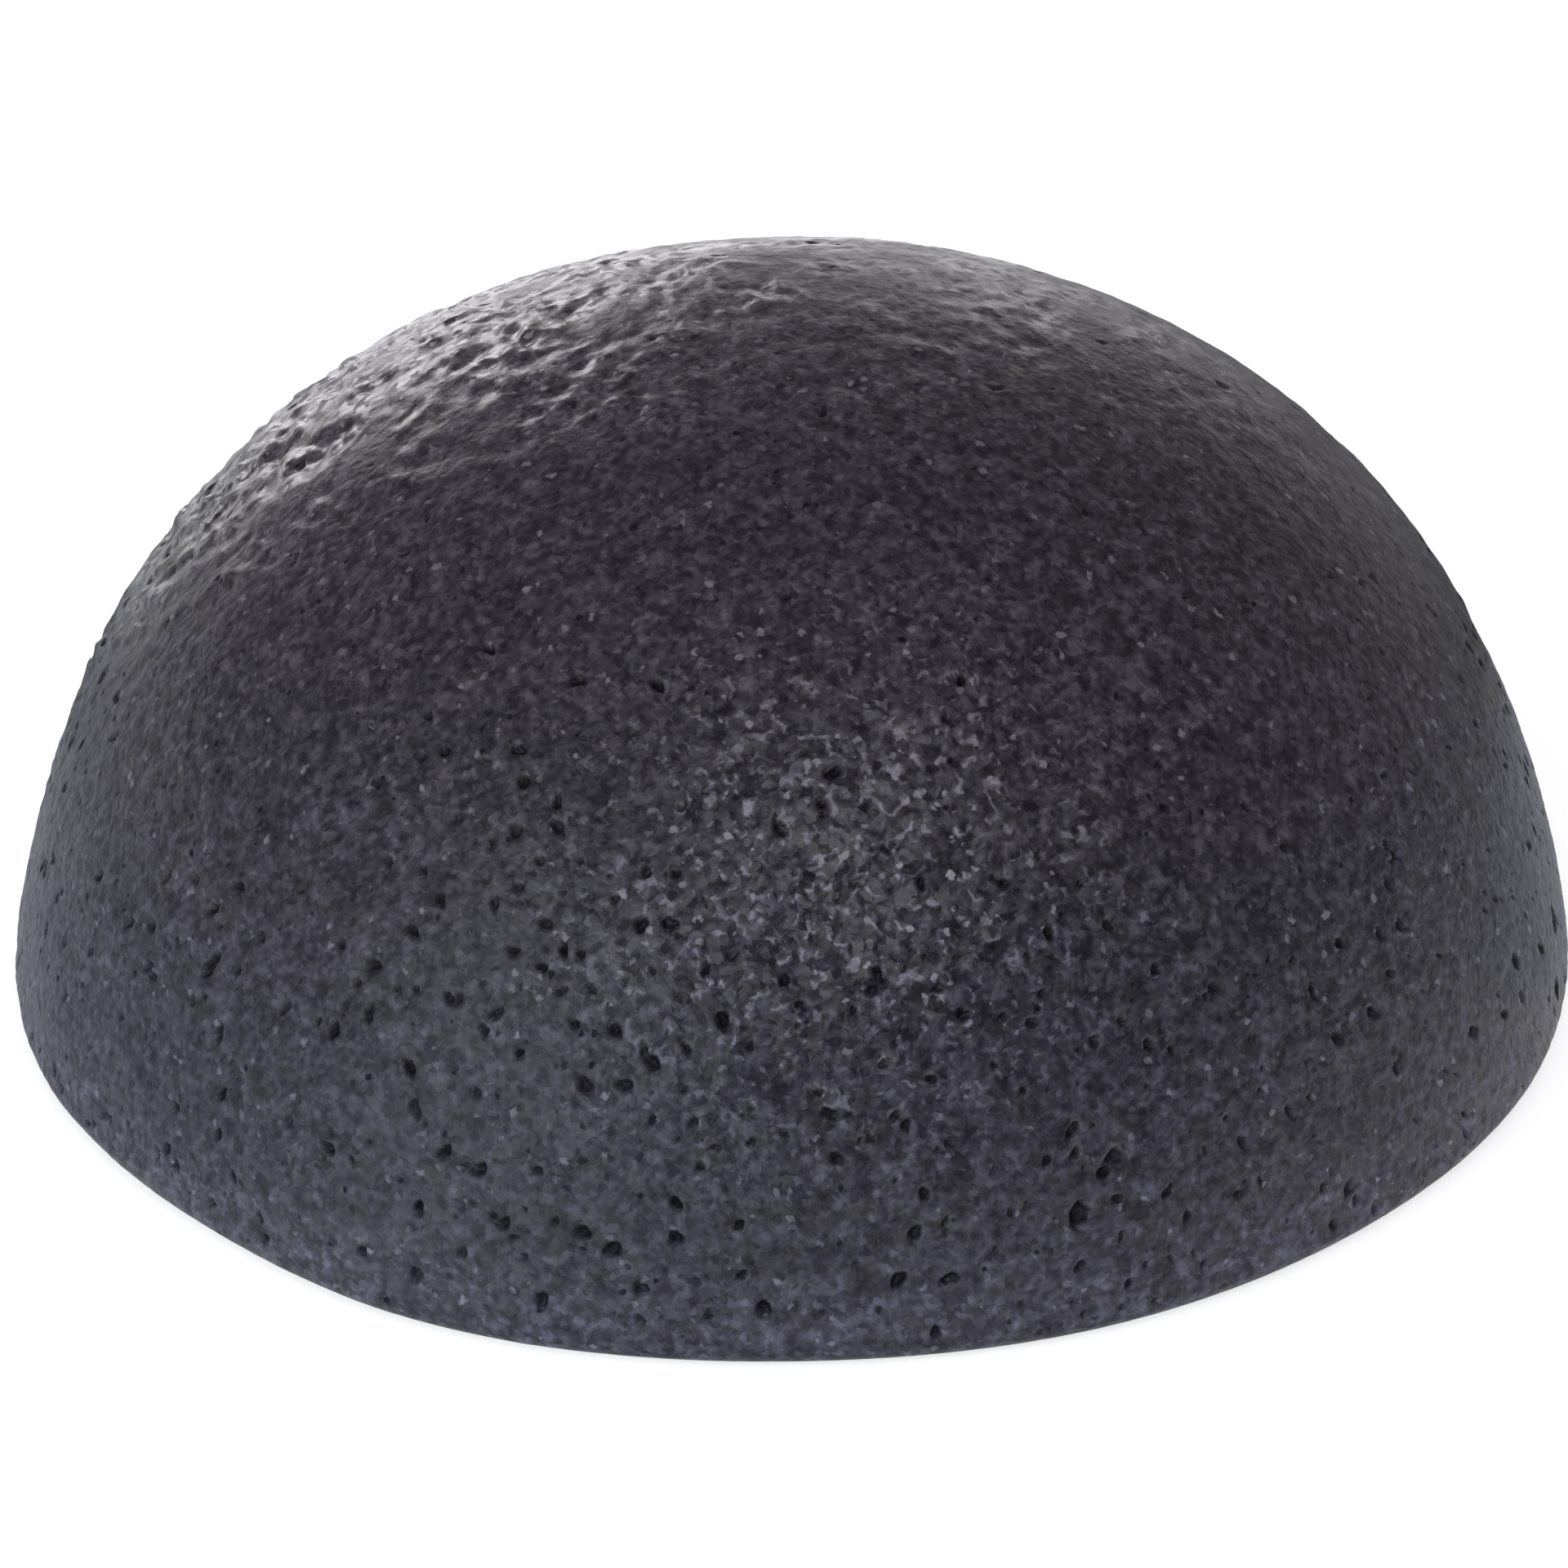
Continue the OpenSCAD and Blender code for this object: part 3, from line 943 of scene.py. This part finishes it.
def ground_colour(tree, gel):
    """From dark to light gel by the square of a sum: how far the skin stands out, as painted light on
    the crests and painted shade in the hollows, soft noise, one number per cell, more noise on the
    right, less in the patch, and level streaks low down."""
    mixed = math_node(tree, "ADD", math_node(tree, "MULTIPLY", attribute(tree, "crest_shade"), 0.30),
                      math_node(tree, "MULTIPLY", gel.tone, 0.55))
    mixed = math_node(tree, "ADD", mixed, math_node(tree, "MULTIPLY", gel.cell_tone, 0.20))
    more = math_node(tree, "MULTIPLY", math_node(tree, "SUBTRACT", gel.tone, 0.5),
                     map_node(tree, gel.across, -8 * MM, 16 * MM, 0.0, 0.22))
    mixed = math_node(tree, "ADD", mixed, more)
    mixed = math_node(tree, "SUBTRACT", mixed, math_node(tree, "MULTIPLY", gel.patch, 0.055))
    level = scaled(tree, gel.place, (0.35, 0.35, 2.2))
    streaks = math_node(tree, "SUBTRACT", pattern(tree, level, 1.0 * MM, detail=1), 0.5)
    low_down = map_node(tree, gel.height, 3 * MM, 14 * MM, 0.18, 0.0)
    streaks = math_node(tree, "MULTIPLY", streaks, low_down)
    mixed = math_node(tree, "ADD", mixed, streaks)
    speckle = math_node(tree, "POWER", map_node(tree, mixed, 0.300, 0.840, 0, 1, "LINEAR"), 2.0)
    return mix_colours(tree, speckle, GEL_DARK, GEL_LIGHT)


print(f"the light gel is {GEL_LIGHT[1] / GEL_DARK[1]:.0f} times as bright as the dark")

# %% [markdown]
# In the crumpled patch and on the folds, where the wet film glints, the gel is painted with pale,
# broken squiggles as painted sparkle; elsewhere they are faint. Noise passes through its middle
# value along winding lines, so a narrow band round that value draws such lines, and a second noise
# breaks them up. Single pale flecks lie on top, partly pale fibres and partly painted glints, more
# and stronger where it is wet.

# %% Painted sparkle: pale squiggles and flecks
# Pale colours of the painted sparkle and of the flecks, which are partly painted glints
PAINTED_SPARKLE_PALE = (0.2400, 0.2370, 0.2900)
PALE_FLECK_GLINT = (0.2800, 0.2760, 0.3150)


def squiggles(tree, gel):
    """Winding lines, 0 to 1: a band round the middle of noise, broken by other noise, strong in the
    patch and on the folds, where they are painted sparkle of the wet film, and uneven from cell to
    cell."""
    centred = math_node(tree, "SUBTRACT", pattern(tree, gel.ragged, 1.1 * MM, detail=1), 0.5)
    line = map_node(tree, math_node(tree, "ABSOLUTE", centred, 0), 0.020, 0.085, 1.0, 0.0)
    broken = map_node(tree, pattern(tree, gel.place, 0.80 * MM, detail=1), 0.50, 0.62, 0, 1)
    line = math_node(tree, "MULTIPLY", math_node(tree, "MULTIPLY", line, broken),
                     math_node(tree, "MAXIMUM", map_node(tree, gel.patch, 0.1, 0.9, 0.04, 1.0),
                               map_node(tree, gel.folds, 0.0, 0.5, 0.04, 0.55)))
    return math_node(tree, "MULTIPLY", line, map_node(tree, gel.cell_shine, 0.1, 0.9, 0.35, 1.0))


def flecks(tree, gel, cloud):
    """Pale dots, 0 to 1, partly pale fibres and partly painted glints of the wet film. Clouds, the
    patch and the folds raise how many there are; the wet places, height and the right-hand side raise
    how pale they are."""
    share = math_node(tree, "ADD", math_node(tree, "MULTIPLY", cloud, 0.15),
                      math_node(tree, "MAXIMUM", map_node(tree, gel.patch, 0, 1, 0.34, 0.65),
                                map_node(tree, gel.folds, 0, 1, 0.34, 0.60)))
    uneven = shifted(tree, gel.place, 0.24 * MM, 0.34 * MM)
    fleck_glint = specks(tree, uneven, 0.65 * MM, gel.grain, share, 0.34)
    high_up = map_node(tree, gel.height, 8 * MM, 20 * MM, 0.55, 0.70)
    to_the_right = map_node(tree, gel.across, -2 * MM, 24 * MM, 0.40, 0.80)
    paler = math_node(tree, "MAXIMUM", high_up, to_the_right)
    return math_node(tree, "MULTIPLY", fleck_glint,
                     math_node(tree, "MAXIMUM", paler, map_node(tree, gel.wet, 0, 0.8, 0.40, 1.0)))


print(f"squiggles are {PAINTED_SPARKLE_PALE[1] / GEL_LIGHT[1]:.2f} times as bright as the light gel, "
      f"flecks {PALE_FLECK_GLINT[1] / GEL_LIGHT[1]:.2f} times")

# %% [markdown]
# Light that falls deep into an open pore doesn't come out again, so the pores are painted almost
# black, and so are the pinpricks between them that are too small for the mesh: painted shade. Last
# come painted tints that stand in for the colour of the light: the top is a little warmer and the
# lower part a little cooler, as the bluish light bounced up from the white table makes it, and the
# foot is painted paler, as the white table lights it and as the photograph has it.

# %% Painted shade in holes, and painted tints of light
# Painted shade in pores and pinpricks, then painted tints of light by height and at the foot
PAINTED_PORE_SHADE = (0.0080, 0.0070, 0.0105)
PAINTED_TINT_HIGH = (1.03, 0.98, 0.94)
PAINTED_BOUNCE_TINT_LOW = (0.965, 1.00, 1.065)
PAINTED_TABLE_LIGHT_FOOT = (1.56, 1.56, 1.58)
NO_TINT = (1.0, 1.0, 1.0)


def gel_colour(tree, gel, fleck_glint, cloud, hole):
    """The ground, then the pale squiggles and the painted sheen of the patch, the flecks and the painted
    shade of the holes laid over it, then painted tints of the light by height and at the foot that
    multiply it."""
    # A pale cloud in the patch: painted sheen where the wet film glints
    painted_patch_sheen = math_node(tree, "MULTIPLY", cloud, map_node(tree, gel.patch, 0, 1, 0.0, 0.08))
    pale = math_node(tree, "MAXIMUM", painted_patch_sheen, squiggles(tree, gel))
    colour = mix_colours(tree, pale, ground_colour(tree, gel), PAINTED_SPARKLE_PALE)
    colour = mix_colours(tree, fleck_glint, colour, PALE_FLECK_GLINT)
    colour = mix_colours(tree, hole, colour, PAINTED_PORE_SHADE)
    # Warmer on top and cooler low down: a painted tint of the light, the low end for the table's bluish
    # bounce light
    painted_light_tint = mix_colours(tree, map_node(tree, gel.height, 6 * MM, 30 * MM, 0, 1), PAINTED_BOUNCE_TINT_LOW, PAINTED_TINT_HIGH)
    # The foot is painted paler: painted light from the white table
    foot = mix_colours(tree, map_node(tree, gel.height, 2 * MM, 6.5 * MM, 0, 1), PAINTED_TABLE_LIGHT_FOOT, NO_TINT)
    return scaled(tree, scaled(tree, colour, painted_light_tint), foot)


print(f"a hole is {PAINTED_PORE_SHADE[1] / GEL_DARK[1]:.2f} times as bright as the dark gel")

# %% [markdown]
# ## The wet film
# Water lies thinly over the gel. It makes a broad soft shine everywhere and a sharper one on the
# folds, where it gathers, but it is broken up: one small cell shines and the next doesn't. Deep in
# a pore nothing shines. A clear coat over the folds alone stands for the thicker water there.

# %% Roughness, shine and coat
def wet_film(tree, gel, fleck_glint, hole):
    """Roughness, shine and coat, each a socket. Roughness falls from 0.36 to 0.22 where it is wet,
    plus noise. Shine is 0.40, up or down by cell, weaker in holes and at the very foot."""
    rough = math_node(tree, "ADD", map_node(tree, gel.wet, 0, 1, 0.36, 0.22),
                      math_node(tree, "MULTIPLY", gel.tone, 0.20))
    by_cell = map_node(tree, gel.cell_shine, 0, 1, -0.42, 0.50)
    shine = math_node(tree, "MULTIPLY", by_cell, map_node(tree, gel.wet, 0, 1, 0.25, 0.80))
    shine = math_node(tree, "ADD", shine, 0.40)
    shine = math_node(tree, "MULTIPLY", shine, map_node(tree, hole, 0, 1, 1.0, 0.35))
    shine = math_node(tree, "MAXIMUM", shine, fleck_glint)
    shine = math_node(tree, "MULTIPLY", shine, map_node(tree, gel.height, 0.2 * MM, 2.0 * MM, 0.25, 1.0))
    coat = math_node(tree, "MULTIPLY", map_node(tree, gel.folds, 0, 1, 0, 0.9), shine)
    return rough, shine, coat


# The same all over, so it is set on the shader itself
COAT_ROUGHNESS = 0.26
print("roughness of the coat over the film:", COAT_ROUGHNESS)

# %% [markdown]
# ## The gel's material
# The parts come together here. One material serves all three layers, because they are one gel. The
# finest grain is bump: it is smaller than the cells of the mesh, and too shallow to show in the
# outline.

# %% Build the gel's material
BUMP_HEIGHT = 0.14 * MM


def gel_material(name):
    """The damp charcoal gel."""
    material = bpy.data.materials.new(name)
    material.use_nodes = True
    tree = material.node_tree
    shader = tree.nodes["Principled BSDF"]
    gel = gel_sockets(tree)
    cloud = map_node(tree, pattern(tree, gel.place, 1.1 * MM, detail=2), 0.50, 0.68, 0, 1)
    fleck_glint = flecks(tree, gel, cloud)
    # Pinpricks and pores are painted near black: painted shade deep in the holes
    pinprick = specks(tree, gel.place, 0.70 * MM, gel.grain, 0.4, 0.26)
    hole = math_node(tree, "MAXIMUM", pinprick, attribute(tree, "pore"))
    rough, shine, coat = wet_film(tree, gel, fleck_glint, hole)
    tree.links.new(gel_colour(tree, gel, fleck_glint, cloud, hole), shader.inputs["Base Color"])
    tree.links.new(rough, shader.inputs["Roughness"])
    tree.links.new(shine, shader.inputs["Specular IOR Level"])
    tree.links.new(coat, shader.inputs["Coat Weight"])
    shader.inputs["Coat Roughness"].default_value = COAT_ROUGHNESS

    bump = node(tree, "ShaderNodeBump", Distance=BUMP_HEIGHT)
    tree.links.new(map_node(tree, gel.wet, 0, 1, 0.40, 0.22), bump.inputs["Strength"])
    hollow = math_node(tree, "SUBTRACT", gel.grain, math_node(tree, "MULTIPLY", pinprick, 0.4))
    tree.links.new(hollow, bump.inputs["Height"])
    tree.links.new(bump.outputs["Normal"], shader.inputs["Normal"])
    return material


charcoal_gel = gel_material("damp_charcoal_gel")
for piece in (dome_skin, base_skin, core):
    piece.data.materials.append(charcoal_gel)
print(f"{charcoal_gel.name}: {len(charcoal_gel.node_tree.nodes)} nodes")

# %% [markdown]
# ## The floor
# The sponge stands on plain white. A floor lit so strongly that it turns white by itself would flood
# the sponge with light. So most of the floor's whiteness is its own, added only where the camera or
# a mirror ray sees it, and it still holds the sponge's faint shadow.

# %% The floor
FLOOR_SIDE = 3.0
FLOOR_WHITE = (0.92, 0.94, 0.90)
FLOOR_GLOW = 0.70


def floor_material():
    """A white floor that adds some light of its own where it is seen or mirrored."""
    material = bpy.data.materials.new("white_floor")
    material.use_nodes = True
    tree = material.node_tree
    tree.nodes.clear()
    matte = node(tree, "ShaderNodeBsdfDiffuse", Color=(*FLOOR_WHITE, 1))
    glow = node(tree, "ShaderNodeEmission", Color=(1, 1, 1, 1))
    ray = tree.nodes.new("ShaderNodeLightPath")
    seen = math_node(tree, "MAXIMUM", ray.outputs["Is Camera Ray"], ray.outputs["Is Glossy Ray"])
    seen = math_node(tree, "MAXIMUM", seen, ray.outputs["Is Transmission Ray"])
    tree.links.new(math_node(tree, "MULTIPLY", seen, FLOOR_GLOW), glow.inputs["Strength"])
    both = tree.nodes.new("ShaderNodeAddShader")
    tree.links.new(matte.outputs[0], both.inputs[0])
    tree.links.new(glow.outputs[0], both.inputs[1])
    out = tree.nodes.new("ShaderNodeOutputMaterial")
    tree.links.new(both.outputs[0], out.inputs["Surface"])
    return material


half = FLOOR_SIDE / 2
floor_mesh = bpy.data.meshes.new("floor")
floor_mesh.from_pydata([(-half, -half, 0), (half, -half, 0), (half, half, 0), (-half, half, 0)],
                       [], [(0, 1, 2, 3)])
floor = bpy.data.objects.new("floor", floor_mesh)
floor.data.materials.append(floor_material())
bpy.context.scene.collection.objects.link(floor)
print(f"the floor is {FLOOR_SIDE:.0f} m wide")

# %% [markdown]
# ## The lamps
# The photograph has soft light from all round. A low window behind the sponge and a little to the
# left skims over the wet folds, and a dimmer light beside it does the same for the top right. A lamp
# high in front picks out the crumpled patch, and a broad low one fills the left. A sky picture could
# give such light too, but four square lamps are easier to steer one by one.

# %% Lamps round the sponge
def soft_lamp(name, azimuth, elevation, distance, size, radiance, colour):
    """A square lamp that faces the sponge. Azimuth 0 is behind it, 90 on its right. A flat lamp of
    area A that should look as bright as radiance gives pi A radiance watts."""
    a, e = math.radians(azimuth), math.radians(elevation)
    way = Vector((math.sin(a) * math.cos(e), math.cos(a) * math.cos(e), math.sin(e)))
    data = bpy.data.lights.new(name, "AREA")
    data.shape = "SQUARE"
    data.size = size
    data.energy = math.pi * size**2 * radiance
    data.color = colour
    lamp = bpy.data.objects.new(name, data)
    bpy.context.scene.collection.objects.link(lamp)
    facing = way.to_track_quat("Z", "Y").to_matrix().to_4x4()
    lamp.matrix_world = Matrix.Translation(way * distance) @ facing
    print(f"{name}: {data.energy:.2f} W")


soft_lamp("window_behind_left", -18, 8, 1.1, 0.40, 2.95, (0.98, 0.95, 1.0))
soft_lamp("card_behind_right", 9, 9, 1.2, 0.34, 1.45, (0.98, 0.95, 1.0))
soft_lamp("lamp_front", 170, 52, 1.0, 0.50, 1.75, (0.92, 0.94, 1.0))
soft_lamp("fill_front_left", -138, 14, 1.2, 1.05, 1.95, (0.86, 0.93, 1.0))

# %% [markdown]
# ## Cards on the table
# Towards its outline the film is seen at a glancing angle, and there it mirrors the table round the
# sponge more than the lamps. In the photograph that mirror image is bright at the upper left and
# along both lower edges, dimmer further up on the left, and dark at the upper right. Painted onto the
# gel, it would be wrong from any other side. So cards lie on the table, and only mirror rays see them.

# %% Cards for the film to mirror
CARD_Z = 1 * MM
UNSEEN_BY = ("visible_camera", "visible_diffuse", "visible_shadow", "visible_transmission")


def table_card(name, x_range, y_range, brightness):
    """A card flat on the table, seen by nothing but mirror rays: it only changes what the wet film
    reflects. Ranges are in metres, and a brightness of 1 mirrors as white."""
    corners = [(x, y, CARD_Z) for x, y in zip((*x_range, *reversed(x_range)), np.repeat(y_range, 2))]
    mesh = bpy.data.meshes.new(name)
    mesh.from_pydata(corners, [], [(0, 1, 2, 3)])
    material = bpy.data.materials.new(name)
    material.use_nodes = True
    tree = material.node_tree
    tree.nodes.clear()
    glow = node(tree, "ShaderNodeEmission", Color=(*brightness, 1), Strength=1.0)
    out = tree.nodes.new("ShaderNodeOutputMaterial")
    tree.links.new(glow.outputs[0], out.inputs["Surface"])
    mesh.materials.append(material)
    card = bpy.data.objects.new(name, mesh)
    bpy.context.scene.collection.objects.link(card)
    for kind in UNSEEN_BY:
        setattr(card, kind, False)
    print(f"{name}: {np.ptp(x_range) / MM:.0f} by {np.ptp(y_range) / MM:.0f} mm")


table_card("white_card", (-0.044, 0.010), (0.075, 0.275), (1.80, 1.74, 1.84))
table_card("dark_card", (0.026, 0.170), (0.033, 0.160), (0.21, 0.21, 0.22))
table_card("grey_card_right", (0.026, 0.170), (-0.006, 0.033), (0.84, 0.88, 0.96))
table_card("grey_card_left", (-0.120, -0.034), (-0.035, 0.025), (0.80, 0.84, 0.92))
table_card("dim_card_left", (-0.120, -0.034), (0.025, 0.075), (0.52, 0.54, 0.58))

# %% [markdown]
# ## The world
# A little even light comes from everywhere, as in a pale room, so that no side is black. The view
# transform is set to Standard, which shows colours as they are written.

# %% World and view
WORLD_COLOUR = (1.0, 0.93, 1.05)
WORLD_STRENGTH = 0.26

world = bpy.data.worlds.new("studio")
world.use_nodes = True
background = world.node_tree.nodes["Background"]
background.inputs["Color"].default_value = (*WORLD_COLOUR, 1)
background.inputs["Strength"].default_value = WORLD_STRENGTH
bpy.context.scene.world = world
bpy.context.scene.view_settings.view_transform = "Standard"
print("view transform:", bpy.context.scene.view_settings.view_transform)

# %% [markdown]
# ## Tie each piece to the frame
# The dressed pieces have to be tied to the CAD model, or they would be left behind when it moves.
# Every layer rides on the one rigid body and stands for its CAD solid, which is hidden.

# %% Ride and replace
dressed = ((dome_skin, "dome_skin", "dome_gel"),
           (base_skin, "base_skin", "base_gel"),
           (core, "foam_core", "core_foam"))
for piece, solid, finish in dressed:
    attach(piece, "root")
    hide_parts(solid)
    print(f"{piece.name} stands for {solid}")
